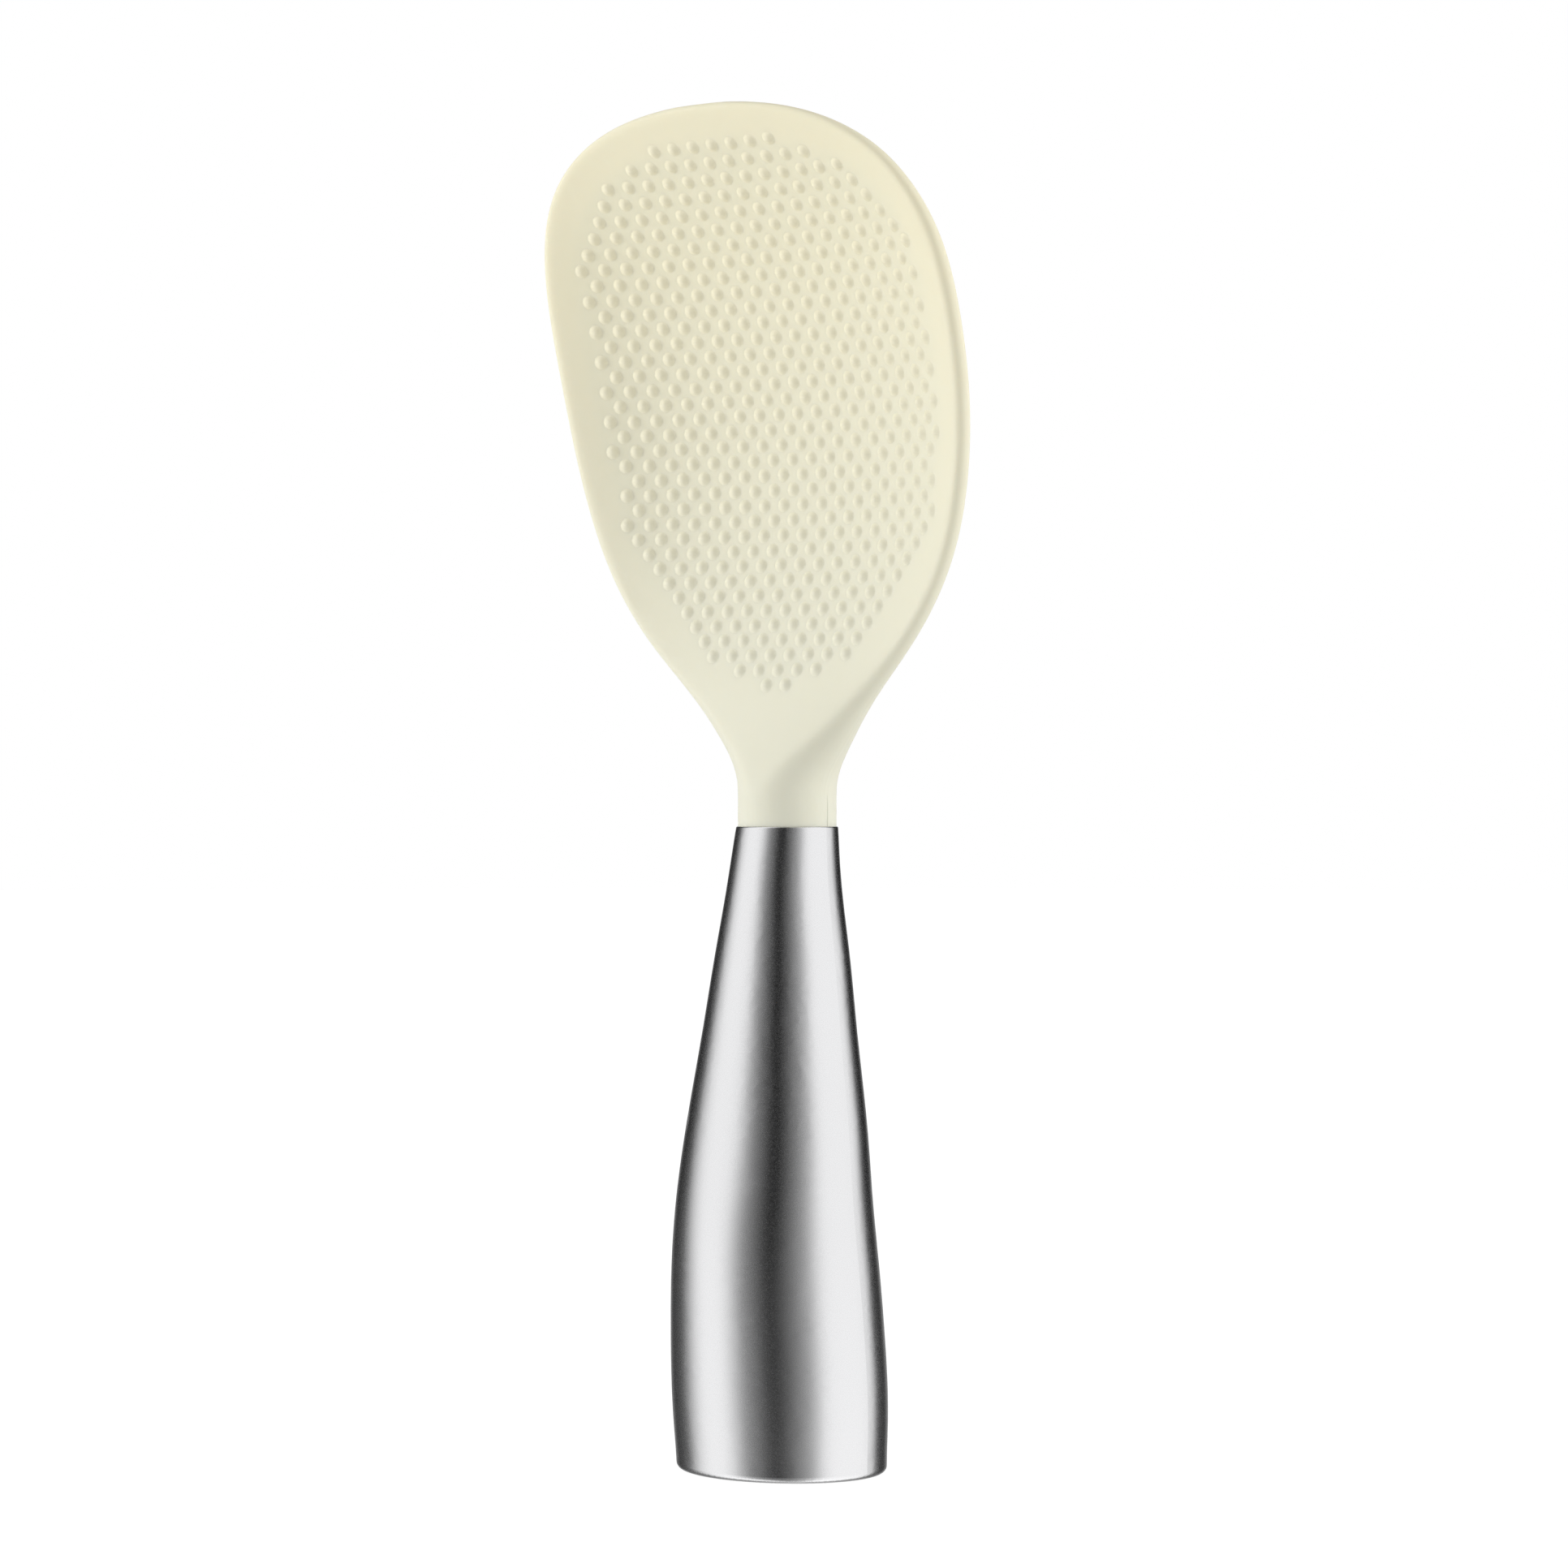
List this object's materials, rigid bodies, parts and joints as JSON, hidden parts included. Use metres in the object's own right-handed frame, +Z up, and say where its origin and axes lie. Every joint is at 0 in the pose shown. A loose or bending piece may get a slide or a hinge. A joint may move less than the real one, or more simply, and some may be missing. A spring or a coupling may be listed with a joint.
{
  "type": "rice paddle",
  "caption": "Rice paddle with a dished silicone head, raised non-stick dots, and a flared hollow steel handle that stands on its flat base.",
  "frame": {"origin": "centre of the handle's flat base, which the paddle stands on", "axes": "+Z up from the base along the handle to the tip of the blade, -Y towards the dished front, +X across the blade"},
  "size_m": [0.0842, 0.036, 0.2158],
  "materials": {
    "silicone": "matte cream food-grade silicone",
    "core_nylon": "moulded glass-filled nylon",
    "plug_plastic": "moulded plastic",
    "brushed_steel": "brushed stainless steel",
    "base_steel": "brushed stainless steel plate"
  },
  "bodies": {
    "root": {"head_skin": "silicone", "head_core": "core_nylon", "neck_plug": "plug_plastic", "handle_shell": "brushed_steel", "base_plate": "base_steel"}
  },
  "joints": []
}
